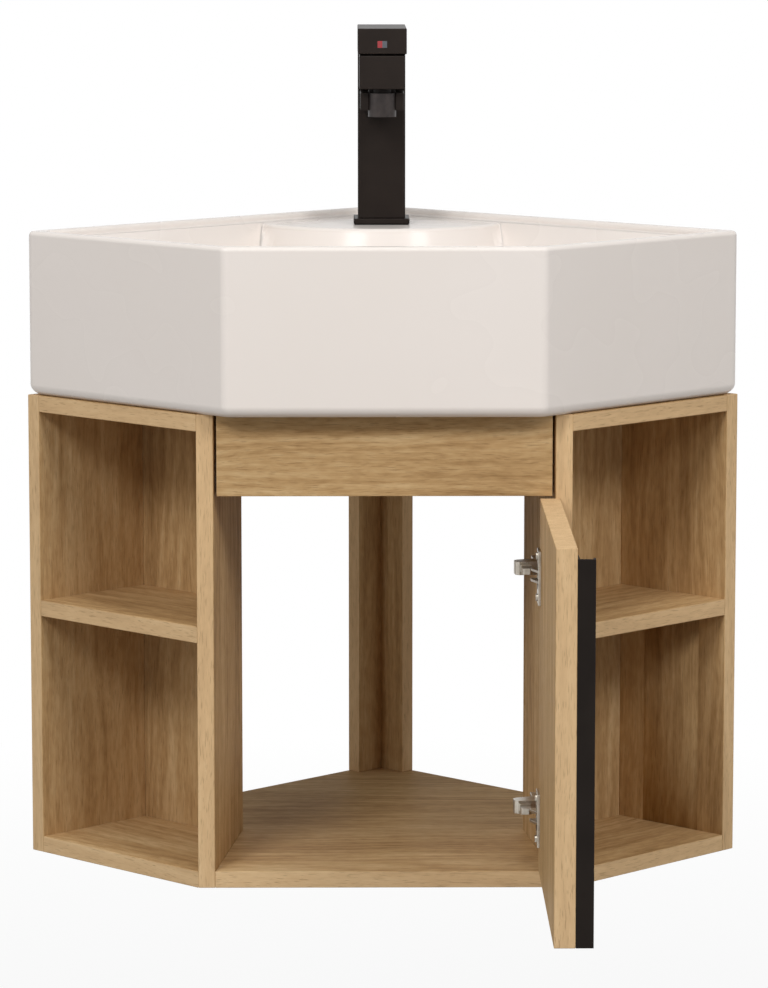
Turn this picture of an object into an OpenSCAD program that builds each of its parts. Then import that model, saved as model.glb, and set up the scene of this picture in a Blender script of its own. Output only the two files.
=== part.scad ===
// Wall-hung corner vanity: an open-backed cabinet of laminated boards that fits a room corner,
// a ceramic basin of a like plan on top of it, a square single-lever tap and one inset door.
// Origin: the room corner at the level of the cabinet's underside. +Z up, the front faces -Y.
// "s" runs along a wall from the corner and "t" runs square off that wall into the room.
// Everything is drawn for the right-hand wall and mirrored for the left one.
// The door is drawn as it stands at rest, swung open square to the front.

/* [Cabinet] */
// Length of the cabinet along each wall
wall_leg = 460; // [440:1:500]
// Width of each open side front, square to the wall
side_width = 225; // [215:1:240]
// Height of the cabinet boards
cabinet_h = 425.5; // [415:0.5:470]
// Thickness of the cabinet boards
board_t = 15; // [14:0.5:18]
// Inner depth of the side compartments
side_depth = 128; // [120:1:140]
// Angle by which each partition leans in towards the back
partition_lean = 6.5; // [4:0.5:8]
// Height of the shelf tops above the underside
shelf_top = 236.5; // [200:0.5:260]
// Height of the fixed apron over the door
apron_h = 72.5; // [66:0.5:80]
// Thickness of the apron and of the door
front_t = 18; // [16:1:19]
// Gap beside the apron and beside the door
side_gap = 2.9; // [2.5:0.1:3.5]
// Depth of the hidden stretcher behind the apron
stretcher_w = 80; // [60:1:100]
// Height of the two wall rails
rail_h = 90; // [75:1:100]
// Length of each post board along its wall
post_w = 45; // [35:1:60]

/* [Door] */
// Gap above and below the door
door_gap = 2; // [1.5:0.1:3]
// Hinge axis behind the cabinet front
axis_back = 3.1; // [3:0.05:3.3]
// Hinge axis outboard of the closed door's edge
axis_out = 4; // [3.8:0.05:4.2]
// Height of the lower hinge above the underside
lower_hinge_z = 67; // [55:1:90]
// Upper hinge below the top of the door
upper_hinge_drop = 67; // [50:1:90]
// Diameter of the hinge cup
cup_d = 26; // [25:0.5:27]
// Depth of the hinge cup
cup_depth = 11.5; // [10:0.5:12]
// Edge of the cup from the door's edge
cup_margin = 4.5; // [4:0.5:6]
// Height of the hinge arm
arm_h = 12; // [10:0.5:13]
// Reach of the hinge arm from the partition
arm_reach = 30.6; // [28:0.2:32]
// How far the pull profile stands off the door
pull_reach = 15; // [10:0.5:22]
// Width of the pull profile's foot on the door
pull_foot = 26; // [22:1:40]
// Wall of the pull profile
pull_t = 2; // [1.6:0.1:3]
// Top of the pull profile below the top of the door
pull_drop = 9; // [2:1:30]

/* [Basin] */
// Height of the basin
basin_h = 150; // [142:1:160]
// How far the basin's front stands past the cabinet
basin_overhang = 28; // [10:0.5:32]
// How far the basin's sides stand past the cabinet
basin_side = 2; // [0:0.5:6]
// Wall thickness of the ceramic
ceramic_t = 12; // [10:0.5:14]
// Radius of the upright edges
basin_edge_r = 10; // [6:0.5:14]
// Rounding round the underside
basin_foot_r = 12; // [6:0.5:14]
// Rounding of the rim
basin_rim_r = 4.5; // [3:0.5:5.5]
// Depth of the bowl below the rim
bowl_depth = 108; // [90:1:115]
// How far the bowl's walls draw in towards its floor
bowl_draft = 34; // [20:1:45]
// Radius of the tap deck's front edge
deck_r = 125; // [115:1:135]
// Centre of that edge in front of the corner
deck_y = 84; // [80:1:90]
// Tap deck below the rim
deck_drop = 7.5; // [3:0.5:9]
// Waste outlet in front of the corner
waste_y = 335; // [320:1:350]
// Diameter of the waste hole
waste_hole_d = 45; // [44:0.5:48]
// Diameter of the tap hole
tap_hole_d = 35; // [34:0.5:38]

/* [Waste] */
// Diameter of the waste's tail
tail_d = 42; // [40:0.5:43]
// Wall of the tail
tail_wall = 3; // [2:0.5:4]
// Length of the tail under its flange
tail_length = 80; // [75:1:100]
// Outer diameter of the tail's end, where a trap pushes on
trap_d = 32; // [30:1:36]
// Length of that end
trap_length = 30; // [20:1:35]
// Diameter of the waste's flange
flange_d = 63; // [60:1:70]
// Diameter of the push plug's cap
plug_d = 60; // [56:1:66]
// Travel of the push plug
plug_travel = 6; // [4:0.5:8]

/* [Tap] */
// Centre of the tap in front of the corner
tap_y = 133; // [128:1:140]
// Side of the square column
column_w = 45; // [43:0.5:50]
// Top of the tap body above the tap deck
body_h = 163; // [150:1:190]
// Side of the square base plate
base_w = 53; // [52:0.5:58]
// Thickness of the base plate
base_t = 5; // [3:0.5:7]
// Height of the spout
spout_h = 31; // [26:0.5:34]
// Width of the spout
spout_w = 42.5; // [41.5:0.1:42.9]
// Front of the spout from the tap's centre
spout_reach = 110; // [95:1:125]
// Width of the block under the spout
under_w = 41; // [34:0.5:41]
// Gap between the spout and the block under it
under_gap = 4; // [2:0.5:6]
// Height of the block under the spout
under_h = 16; // [13:0.5:20]
// Diameter of the aerator
aerator_d = 26; // [24:0.5:28]
// How far the aerator hangs below the block
aerator_drop = 6; // [3:0.5:9]
// Width of the lever block
lever_w = 45.5; // [44:0.5:50]
// Height of the lever block
lever_h = 23.6; // [21:0.1:30]
// Gap between the body and the lever
lever_gap = 1.5; // [1.2:0.1:2]
// Diameter of the ceramic-disc cartridge
cartridge_d = 35; // [34:0.5:36]

/* [Fittings] */
// Diameter of the wooden dowels
dowel_d = 8; // [6:0.5:8]
// Diameter of the cam discs
cam_d = 15; // [12:0.5:15]
// Diameter of the wall screw holes in the rails
wall_hole_d = 8; // [6:0.5:10]
// Radial clearance of every dowel, bolt and screw
fit = 0.05; // [0.03:0.01:0.1]

/* [Hidden] */
$fn = 48;

// Small overlap that lets a cut run past a face
cut = 1;
root2 = sqrt(2);

// ---- plan of the cabinet -------------------------------------------------------------------

// Point of the plan at s along the right-hand wall and t off it
function at_wall(s, t) = [(s - t) / root2, -(s + t) / root2];

front = (wall_leg + side_width) / root2;
corner_x = (wall_leg - side_width) / root2;
opening_x = corner_x - board_t / cos(partition_lean);
back_s = wall_leg - side_depth - board_t;
inner_s = back_s + board_t;
apron_z = cabinet_h - apron_h;
rail_z = cabinet_h - rail_h;

// Face of the right partition: depth v behind the front, off the opening side by w
function partition_at(v, w) = [opening_x - v * sin(partition_lean) - w * cos(partition_lean),
  -front + v * cos(partition_lean) - w * sin(partition_lean)];

// Where the partition's outer face crosses the plane at s
function partition_meets(s) =
  let (y = (corner_x - front * tan(partition_lean) - root2 * s) / (1 + tan(partition_lean)))
  [y + root2 * s, y];

rear_outer = partition_meets(back_s);
rear_inner = [rear_outer[0] - board_t * cos(partition_lean),
  rear_outer[1] - board_t * sin(partition_lean)];

oak = [0.78, 0.65, 0.46];
oak_light = [0.82, 0.69, 0.50];
nickel = [0.74, 0.71, 0.66];
tap_dark = [0.17, 0.15, 0.13];
glaze = [0.91, 0.88, 0.86];

module on_left() mirror([1, 0, 0]) children();

module board(plan, z, thick) translate([0, 0, z]) linear_extrude(thick) polygon(plan);

// Rod along an axis in plan: from the point p, turned a degrees from +X, at the height z
module rod(p, a, z, d, from, to)
  translate([p[0], p[1], z]) rotate([0, 0, a]) rotate([0, 90, 0])
    translate([0, 0, from]) cylinder(d = d, h = to - from);

// ---- dowels and cams -----------------------------------------------------------------------

dowel_in_board = 20;
dowel_in_panel = 9;
cam_reach = 24;
cam_depth = 11.5;
cam_bolt_d = 6;
cam_head_d = 7;
cam_thread_d = 5;
cam_head = 4;
fixing_inset = 30;
front_s = wall_leg - fixing_inset;
rear_s = inner_s + fixing_inset;

side_board_z = [0, shelf_top - board_t, cabinet_h - board_t];

// Point on the partition's outer face, v behind the front
function outer_at(v) = partition_at(v, -board_t);

outer_turn = partition_lean;
inner_turn = 180 + partition_lean;
stretcher_front = -front + front_t;

// Each joint is [point on the joint face, turn of its axis into the board, underside of board]
dowel_joints = [
  for (z = side_board_z) [at_wall(front_s, board_t), -135, z],
  for (z = side_board_z) [outer_at(fixing_inset), outer_turn, z],
  [partition_at(fixing_inset * 1.5, 0), inner_turn, 0],
  [partition_at(fixing_inset * 4, 0), inner_turn, 0],
  [partition_at(front_t + fixing_inset, 0), inner_turn, cabinet_h - board_t]];

cam_joints = [
  for (z = side_board_z) [at_wall(rear_s, board_t), -135, z],
  for (z = side_board_z) [outer_at(fixing_inset * 3), outer_turn, z],
  [partition_at(fixing_inset * 2.5, 0), inner_turn, 0],
  [partition_at(front_t + stretcher_w - fixing_inset, 0), inner_turn, cabinet_h - board_t]];

// Dowels that stand in the floor and in the rails to hold the post boards: s along the wall
post_dowel_s = post_w - board_t;

module side_dowels(grow, stretch) {
  for (j = dowel_joints)
    rod(j[0], j[1], j[2] + board_t / 2, dowel_d + 2 * grow,
      -dowel_in_panel - stretch, dowel_in_board + stretch);
  for (z = [rail_z + rail_h / 4, rail_z + rail_h * 3 / 4])
    rod(at_wall(back_s, board_t / 2), 135, z, dowel_d + 2 * grow,
      -dowel_in_panel - stretch, dowel_in_board + stretch);
  for (z = [board_t, rail_z])
    translate(concat(at_wall(post_dowel_s, board_t / 2), z - dowel_in_panel - stretch))
      cylinder(d = dowel_d + 2 * grow, h = 2 * (dowel_in_panel + stretch));
}

module cam_bolt(j, grow) {
  z = j[2] + board_t / 2;
  rod(j[0], j[1], z, cam_thread_d + 2 * grow, -dowel_in_panel - grow, 0);
  rod(j[0], j[1], z, cam_bolt_d + 2 * grow, -grow, cam_reach - cam_head + grow);
  rod(j[0], j[1], z, cam_head_d + 2 * grow, cam_reach - cam_head - grow, cam_reach + grow);
}

module cam_disc(j, grow, drop)
  translate([j[0][0] + cam_reach * cos(j[1]), j[0][1] + cam_reach * sin(j[1]), j[2] - drop])
    cylinder(d = cam_d + 2 * grow, h = cam_depth + drop + grow);

module side_fixing_holes() {
  side_dowels(fit, 0.5);
  for (j = cam_joints) {
    cam_bolt(j, fit);
    cam_disc(j, fit, cut);
  }
}

module dowels() color([0.85, 0.74, 0.55]) {
  side_dowels(0, 0);
  on_left() side_dowels(0, 0);
}

module side_cam_bolts() for (j = cam_joints) cam_bolt(j, 0);

module cam_bolts() color(nickel) {
  side_cam_bolts();
  on_left() side_cam_bolts();
}

module side_cam_discs() difference() {
  for (j = cam_joints) cam_disc(j, 0, 0);
  for (j = cam_joints) rod(j[0], j[1], j[2] + board_t / 2, cam_head_d + 4 * fit, 0, cam_reach + 2 * fit);
}

module cam_discs() color(nickel) {
  side_cam_discs();
  on_left() side_cam_discs();
}

// ---- boards of one side --------------------------------------------------------------------

module wall_panel() color(oak) difference() {
  board([at_wall(inner_s, 0), at_wall(wall_leg, 0), at_wall(wall_leg, board_t),
    at_wall(inner_s, board_t)], 0, cabinet_h);
  side_fixing_holes();
}

module back_panel() color(oak) difference() {
  board([at_wall(back_s, 0), at_wall(inner_s, 0), partition_meets(inner_s), rear_outer],
    0, cabinet_h);
  side_fixing_holes();
}

module partition() color(oak_light) difference() {
  board([[corner_x, -front], rear_outer, rear_inner, [opening_x, -front]], 0, cabinet_h);
  side_fixing_holes();
}

// Only the right partition carries the door's hinges
module hinge_partition() color(oak_light) difference() {
  partition();
  plate_screw_set(fit, 0.5);
}

module side_board(z) color(oak_light) difference() {
  board([at_wall(inner_s, board_t), at_wall(wall_leg, board_t), [corner_x, -front],
    partition_meets(inner_s)], z, board_t);
  side_fixing_holes();
}

screw_from_post = 40;
screw_from_end = 45;
wall_screw_s = [post_w + screw_from_post, back_s - screw_from_end];
wall_screw_z = rail_z + rail_h / 2;

// The right rail stops on the left one, which runs right into the corner
module wall_rail(start) color(oak) difference() {
  board([at_wall(start, 0), at_wall(back_s, 0), at_wall(back_s, board_t),
    at_wall(start, board_t)], rail_z, rail_h);
  side_fixing_holes();
  for (s = wall_screw_s)
    rod(at_wall(s, 0), -135, wall_screw_z, wall_hole_d, -cut, board_t + cut);
}

module post_board(start) color(oak) difference() {
  board([at_wall(start, 0), at_wall(post_w, 0), at_wall(post_w, board_t),
    at_wall(start, board_t)], board_t, rail_z - board_t);
  side_fixing_holes();
}

// ---- boards across the middle --------------------------------------------------------------

half_floor = [[0, -front], [opening_x, -front], rear_inner, rear_outer, at_wall(back_s, 0),
  [0, 0]];

module both_fixing_holes() {
  side_fixing_holes();
  on_left() side_fixing_holes();
}

module floor_board() color(oak_light) difference() {
  union() {
    board(half_floor, 0, board_t);
    on_left() board(half_floor, 0, board_t);
  }
  both_fixing_holes();
}

apron_w = 2 * (opening_x - side_gap);

module apron() color(oak) difference() {
  translate([-apron_w / 2, -front, apron_z]) cube([apron_w, front_t, apron_h]);
  bracket_screw_set(fit, 0.5);
}

module stretcher() color(oak) difference() {
  stretcher_back = stretcher_front + stretcher_w;
  board([for (k = [[-1, stretcher_front], [1, stretcher_front], [1, stretcher_back],
    [-1, stretcher_back]]) [k[0] * (opening_x - (k[1] + front) * tan(partition_lean)), k[1]]],
    cabinet_h - board_t, board_t);
  both_fixing_holes();
  bracket_screw_set(fit, 0.5);
}

bracket_x = 90;
bracket_w = 20;
bracket_leg = 26;
bracket_t = 2;
bracket_screw_d = 4;
bracket_screw_in = 10;
bracket_screw_at = 16;

// One screw into the apron and one into the stretcher at each bracket
module bracket_screw_set(grow, stretch)
  for (x = [-bracket_x, bracket_x]) {
    translate([x, stretcher_front - bracket_screw_in - stretch, cabinet_h - board_t - bracket_screw_at])
      rotate([-90, 0, 0]) cylinder(d = bracket_screw_d + 2 * grow, h = bracket_screw_in + bracket_t + 2 * stretch);
    translate([x, stretcher_front + bracket_screw_at, cabinet_h - board_t - bracket_t - stretch])
      cylinder(d = bracket_screw_d + 2 * grow, h = bracket_screw_in + bracket_t + 2 * stretch);
  }

module bracket_screws() color(nickel) {
  bracket_screw_set(0, 0);
  for (x = [-bracket_x, bracket_x]) {
    translate([x, stretcher_front + bracket_t, cabinet_h - board_t - bracket_screw_at])
      rotate([-90, 0, 0]) cylinder(d = 2 * bracket_screw_d, h = bracket_t);
    translate([x, stretcher_front + bracket_screw_at, cabinet_h - board_t - 2 * bracket_t])
      cylinder(d = 2 * bracket_screw_d, h = bracket_t);
  }
}

module apron_brackets() color(nickel) difference() {
  for (x = [-bracket_x, bracket_x]) translate([x - bracket_w / 2, stretcher_front, 0]) {
    translate([0, 0, cabinet_h - board_t - bracket_leg]) cube([bracket_w, bracket_t, bracket_leg]);
    translate([0, 0, cabinet_h - board_t - bracket_t]) cube([bracket_w, bracket_leg, bracket_t]);
  }
  bracket_screw_set(fit, cut);
}

// ---- door, drawn open ----------------------------------------------------------------------

closed_edge = opening_x - side_gap;
axis_x = closed_edge + axis_out;
axis_y = -front + axis_back;
door_w = 2 * closed_edge;
door_z = board_t + door_gap;
door_h = apron_z - door_gap - door_z;
door_outer = axis_x + axis_back;
door_inner = door_outer - front_t;
door_hinge_y = axis_y - axis_out;
door_free_y = door_hinge_y - door_w;
door_top = door_z + door_h;
hinge_z = [lower_hinge_z, door_top - upper_hinge_drop];
cup_y = door_hinge_y - cup_margin - cup_d / 2;

module door_panel() color(oak_light) difference() {
  translate([door_inner, door_free_y, door_z]) cube([front_t, door_w, door_h]);
  for (z = hinge_z)
    translate([door_inner - cut, cup_y, z]) rotate([0, 90, 0])
      cylinder(d = cup_d + 2 * fit, h = cup_depth + cut + fit);
  cup_screw_set(fit, 0.5);
  pull_screw_set(fit, 0.5);
}

pull_h = door_top - pull_drop - door_z;
pull_screw_d = 3.5;
pull_screw_in = 12;
pull_screw_y = door_free_y + pull_foot - 9;
pull_screw_z = [for (k = [0.1, 0.5, 0.9]) door_z + k * pull_h];
pull_lip = 9;

module pull_screw_set(grow, stretch)
  for (z = pull_screw_z)
    translate([door_outer - pull_screw_in - stretch, pull_screw_y, z]) rotate([0, 90, 0])
      cylinder(d = pull_screw_d + 2 * grow, h = pull_screw_in + pull_t + 2 * stretch);

module door_pull() color([0.13, 0.12, 0.11]) difference() {
  translate([door_outer, door_free_y, door_z]) union() {
    cube([pull_t, pull_foot, pull_h]);
    cube([pull_reach, pull_t, pull_h]);
    translate([pull_reach - pull_t, 0, 0]) cube([pull_t, pull_lip, pull_h]);
  }
  pull_screw_set(fit, cut);
}

module pull_screws() color(nickel) {
  pull_screw_set(0, 0);
  for (z = pull_screw_z)
    translate([door_outer + pull_t, pull_screw_y, z]) rotate([0, 90, 0])
      cylinder(d = 2 * pull_screw_d, h = pull_t);
}

// ---- hinges --------------------------------------------------------------------------------

cup_wall = 1.2;
cup_flange_t = 2.5;
cup_flange_h = 48;
cup_flange_w = 27;
cup_screw_d = 3.5;
cup_screw_in = 10;
cup_screw_at = 18.5;
screw_head = 1.9;
screw_head_t = 1.5;

// The links stand out of the cup as two cheeks, one above and one below the arm's nose
link_half = 8;
link_in = 3.5;
link_out = 8;
link_tip = 5.2;
link_root = 6;
link_t = arm_h / 2 - link_in;

module cup_screw_set(grow, stretch)
  for (z = hinge_z, k = [-1, 1])
    translate([door_inner - cup_flange_t - stretch, cup_y, z + k * cup_screw_at]) rotate([0, 90, 0])
      cylinder(d = cup_screw_d + 2 * grow, h = cup_flange_t + cup_screw_in + 2 * stretch);

module hinge_cup(z) color(nickel) {
  cup_floor = door_inner + cup_depth - cup_wall;
  difference() {
    union() {
      translate([door_inner, cup_y, z]) rotate([0, 90, 0]) cylinder(d = cup_d, h = cup_depth);
      translate([door_inner - cup_flange_t, cup_y - cup_flange_w / 2, z - cup_flange_h / 2])
        cube([cup_flange_t, cup_flange_w, cup_flange_h]);
    }
    translate([door_inner - cup_flange_t - cut, cup_y, z]) rotate([0, 90, 0])
      cylinder(d = cup_d - 2 * cup_wall, h = cup_depth - cup_wall + cup_flange_t + cut);
    cup_screw_set(fit, cut);
  }
  for (k = [-1, 1])
    board([[cup_floor + cup_wall / 2, cup_y - link_half], [cup_floor + cup_wall / 2, cup_y + link_half],
      [door_inner, cup_y + link_half], [door_inner - cup_flange_t, axis_y - link_tip],
      [door_inner - link_out, axis_y - link_tip], [door_inner - link_out, axis_y - link_tip - link_root],
      [door_inner, cup_y - link_half]],
      z + k * (link_in + link_t / 2) - link_t / 2, link_t);
}

module cup_screws() color(nickel) {
  cup_screw_set(0, 0);
  for (z = hinge_z, k = [-1, 1])
    translate([door_inner - cup_flange_t - screw_head_t, cup_y, z + k * cup_screw_at])
      rotate([0, 90, 0]) cylinder(d = screw_head * cup_screw_d, h = screw_head_t);
}

// The arm starts clear behind the closed door and its cup's links
arm_clear = 0.8;
arm_from = (front_t + link_out + arm_clear + arm_reach * sin(partition_lean)) / cos(partition_lean);
arm_length = 38;
arm_to = arm_from + arm_length;
arm_hump = 15;
arm_base_w = 12;
arm_corner = 3;
plate_t = 3;
plate_from = arm_from + 3;
plate_to = arm_to + 2;
plate_margin = 2;
plate_wing_w = 12;
plate_wing_h = 46;
plate_screw_d = 3.5;
plate_screw_in = 11;
plate_screw_at = 18;
plate_screw_v = (plate_from + plate_to) / 2;

module plate_screw_set(grow, stretch)
  for (z = hinge_z, k = [-1, 1])
    rod(partition_at(plate_screw_v, 0), partition_lean, z + k * plate_screw_at,
      plate_screw_d + 2 * grow, -plate_t - stretch, plate_screw_in + stretch);

module hinge_plate(z) color(nickel) difference() {
  union() {
    board([partition_at(plate_from, 0), partition_at(plate_to, 0),
      partition_at(plate_to, plate_t), partition_at(plate_from, plate_t)],
      z - arm_h / 2 - plate_margin, arm_h + 2 * plate_margin);
    board([for (k = [[-1, 0], [1, 0], [1, 1], [-1, 1]])
      partition_at(plate_screw_v + k[0] * plate_wing_w / 2, k[1] * plate_t)],
      z - plate_wing_h / 2, plate_wing_h);
  }
  plate_screw_set(fit, cut);
}

module plate_screws() color(nickel) {
  plate_screw_set(0, 0);
  for (z = hinge_z, k = [-1, 1])
    rod(partition_at(plate_screw_v, 0), partition_lean, z + k * plate_screw_at,
      screw_head * plate_screw_d, -plate_t - screw_head_t, -plate_t);
}

// The arm's nose reaches into the cup of the closed door
nose_half = 2.8;
nose_in = cup_depth - cup_wall - 1.8;
nose_left = 9;
nose_right = 1;
nose_y = front_t - nose_in - front;
closed_cup_x = closed_edge - cup_margin - cup_d / 2;

module hinge_arm(z) color(nickel) {
  board([for (p = [[arm_from, plate_t], [arm_to - arm_corner, plate_t],
    [arm_to, plate_t + arm_corner], [arm_to, arm_base_w - 1],
    [arm_from + arm_hump + arm_corner + 2, arm_base_w], [arm_from + arm_hump, arm_reach - arm_corner],
    [arm_from + arm_hump - arm_corner, arm_reach], [arm_from + arm_corner, arm_reach],
    [arm_from, arm_reach - arm_corner]]) partition_at(p[0], p[1])], z - arm_h / 2, arm_h);
  board([[closed_cup_x - nose_left, arm_from + arm_corner - front],
    [closed_cup_x - nose_left, nose_y + 2], [closed_cup_x - nose_left + 2, nose_y],
    [closed_cup_x + nose_right - 2, nose_y], [closed_cup_x + nose_right, nose_y + 2],
    [closed_cup_x + nose_right, arm_from + arm_corner - front]],
    z - nose_half, 2 * nose_half);
}

// ---- basin ---------------------------------------------------------------------------------

basin_z = cabinet_h;
basin_top = basin_z + basin_h;
deck_z = basin_top - deck_drop;
bowl_z = basin_top - bowl_depth;
basin_front = front + basin_overhang;
basin_leg = wall_leg + basin_side;
rim_r = basin_edge_r - 2;
foot_w = 8;

// Directions square to the plan's edges, from the left wall round to it again
edge_turns = [135, 45, -45, -90, -135, -225];
edge_step = 15;

// The five corners of the plan, drawn in by d from the walls, the sides and the front
function plan_corners(d) =
  let (b = at_wall(basin_leg - d, d), side = root2 * (basin_leg - d),
    c = [side - (basin_front - d), -(basin_front - d)])
  [[0, -root2 * d], b, c, [-c[0], c[1]], [-b[0], b[1]]];

// Plan drawn in by d, with its corners rounded to r in steps of edge_step degrees
module basin_plan(d, r) {
  c = plan_corners(d + r);
  polygon([for (i = [0:4], a = [edge_turns[i]:-edge_step:edge_turns[i + 1]])
    c[i] + r * [cos(a), sin(a)]]);
}

module basin_slab(d, r, z0, z1) translate([0, 0, z0]) linear_extrude(z1 - z0) basin_plan(d, r);

// Skin between the plan drawn in by d0 at z0 and by d1 at z1
module basin_loft(d0, z0, d1, z1, r) hull() {
  basin_slab(d0, r, z0, z0 + 0.01);
  basin_slab(d1, r, z1 - 0.01, z1);
}

function round_in(r, a) = r * (1 - sin(a));
function round_up(r, a) = r * (1 - cos(a));

module basin_outside() {
  basin_slab(0, basin_edge_r, basin_z + basin_foot_r, basin_top - basin_rim_r);
  for (a = [0, 30, 60])
    basin_loft(round_in(basin_foot_r, a), basin_z + round_up(basin_foot_r, a),
      round_in(basin_foot_r, a + 30), basin_z + round_up(basin_foot_r, a + 30), basin_edge_r);
  for (a = [0, 45])
    basin_loft(round_in(basin_rim_r, a + 45), basin_top - round_up(basin_rim_r, a + 45),
      round_in(basin_rim_r, a), basin_top - round_up(basin_rim_r, a), basin_edge_r);
}

// The bowl, grown by g on every side; the tap deck stays as a round-fronted ledge at the back
module bowl(g) difference() {
  basin_loft(ceramic_t + bowl_draft - g, bowl_z - g, ceramic_t - g, deck_z, rim_r + g);
  translate([0, -deck_y, bowl_z - g - cut])
    cylinder(r1 = deck_r + bowl_draft - g, r2 = deck_r - g, h = deck_z - bowl_z + g + 2 * cut, $fn = 96);
}

module basin() color(glaze) difference() {
  basin_outside();
  basin_slab(ceramic_t, rim_r, deck_z, basin_top + cut);
  bowl(0);
  difference() {
    union() {
      basin_slab(basin_foot_r + foot_w, rim_r, basin_z - cut, basin_z + ceramic_t + cut);
      basin_slab(ceramic_t, rim_r, basin_z + ceramic_t, deck_z - ceramic_t);
    }
    bowl(ceramic_t);
  }
  translate([0, -waste_y, bowl_z - ceramic_t - cut])
    cylinder(d = waste_hole_d, h = ceramic_t + 2 * cut);
  translate([0, -tap_y, deck_z - ceramic_t - cut])
    cylinder(d = tap_hole_d, h = ceramic_t + 2 * cut);
}

// ---- waste ---------------------------------------------------------------------------------

seal_t = 2;
gasket_t = 5;
waste_nut_h = 10;
flange_t = 3;
stem_d = 8;
hub_d = 14;
hub_h = 8;
hub_drop = 26;
spoke_t = 2.4;
spoke_inset = 1;
waste_top = bowl_z + seal_t + flange_t;
plug_seat_gap = 0.4;
plug_z = waste_top + plug_travel + plug_seat_gap;
plug_t = 5;

module ring(outer, inner, z, h) translate([0, -waste_y, z]) difference() {
  cylinder(d = outer, h = h);
  translate([0, 0, -cut]) cylinder(d = inner, h = h + 2 * cut);
}

module waste_body() color("silver") {
  tail_bore = tail_d - 2 * tail_wall;
  trap_bore = trap_d - 2 * tail_wall;
  tail_end = waste_top - tail_length;
  ring(flange_d, tail_bore, bowl_z + seal_t, flange_t);
  ring(tail_d, tail_bore, tail_end + trap_length, tail_length - trap_length);
  ring(tail_d, trap_bore, tail_end + trap_length, tail_wall);
  ring(trap_d, trap_bore, tail_end, trap_length + tail_wall);
  ring(hub_d, stem_d + 2 * fit, waste_top - hub_drop - hub_h, hub_h);
  difference() {
    translate([0, -waste_y, waste_top - hub_drop - hub_h])
      for (a = [90, 210, 330]) rotate([0, 0, a])
        translate([hub_d / 2 - 1, -spoke_t / 2, spoke_inset])
          cube([tail_d / 2 - hub_d / 2, spoke_t, hub_h - 2 * spoke_inset]);
    ring(4 * flange_d, tail_d - tail_wall, waste_top - hub_drop - hub_h - cut, hub_h + 2 * cut);
  }
}

module waste_seal() color([0.15, 0.15, 0.15]) ring(flange_d - 2, waste_hole_d, bowl_z, seal_t);

module waste_gasket() color([0.15, 0.15, 0.15])
  ring(flange_d + 4, tail_d + 2 * fit, bowl_z - ceramic_t - gasket_t, gasket_t);

module waste_nut() color("silver") translate([0, -waste_y, bowl_z - ceramic_t - gasket_t - waste_nut_h])
  difference() {
    cylinder(d = flange_d + 2, h = waste_nut_h, $fn = 8);
    translate([0, 0, -cut]) cylinder(d = tail_d + 2 * fit, h = waste_nut_h + 2 * cut);
  }

// Push plug: a low dome on a stem that slides in the waste's hub
module waste_plug() color("silver") translate([0, -waste_y, plug_z]) {
  rotate_extrude($fn = 64) polygon([[0, 0], [plug_d / 2 - 1, 0], [plug_d / 2, 1],
    [plug_d / 2, plug_t - 2.2], [plug_d / 2 - 2, plug_t - 1], [plug_d / 3, plug_t - 0.3],
    [0, plug_t]]);
  translate([0, 0, -plug_travel - hub_drop - hub_h + 2])
    cylinder(d = stem_d, h = plug_travel + hub_drop + hub_h - 1.5);
}

// ---- tap -----------------------------------------------------------------------------------

gasket_plate_t = 1;
plate_z = deck_z + gasket_plate_t;
body_z = plate_z + base_t;
body_top = deck_z + body_h;
spout_z = body_top - spout_h;
under_z = spout_z - under_gap - under_h;
edge_cut = 1;
cartridge_h = 34;
nut_h = 6;
nut_d = cartridge_d + 3;
neck_d = 24;
cartridge_z = body_top - nut_h - cartridge_h;
spindle_d = 9;
spindle_in = 12;
under_inset = 14;
aerator_inset = 18.5;
aerator_y = tap_y + spout_reach - aerator_inset;
aerator_top = spout_z - under_gap;
neck_wall = 2;
neck_inset = 8;
inlet_d = 10;
inlet_x = 7;
inlet_y = 1.5;
inlet_seat_d = 11.4;
inlet_seat_h = 4;
stud_d = 8;
stud_y = 11;
stud_in = 14;
waterway_d = 13;
waterway_z = spout_z + spout_h / 2;

// Square block with small chamfers on its upright edges, centred on the tap in X
module tap_block(w, y0, y1, z, h) translate([0, -tap_y, z]) linear_extrude(h)
  polygon([[-w / 2 + edge_cut, y0], [w / 2 - edge_cut, y0], [w / 2, y0 + edge_cut],
    [w / 2, y1 - edge_cut], [w / 2 - edge_cut, y1], [-w / 2 + edge_cut, y1],
    [-w / 2, y1 - edge_cut], [-w / 2, y0 + edge_cut]]);

module tap_base_plate() color(tap_dark) difference() {
  tap_block(base_w, -base_w / 2, base_w / 2, plate_z, base_t);
  translate([0, -tap_y, plate_z - cut]) cylinder(d = tap_hole_d - 4, h = base_t + 2 * cut);
}

module tap_gasket() color([0.15, 0.15, 0.15]) difference() {
  tap_block(base_w - 2, 1 - base_w / 2, base_w / 2 - 1, deck_z, gasket_plate_t);
  translate([0, -tap_y, deck_z - cut]) cylinder(d = tap_hole_d, h = gasket_plate_t + 2 * cut);
}

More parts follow.
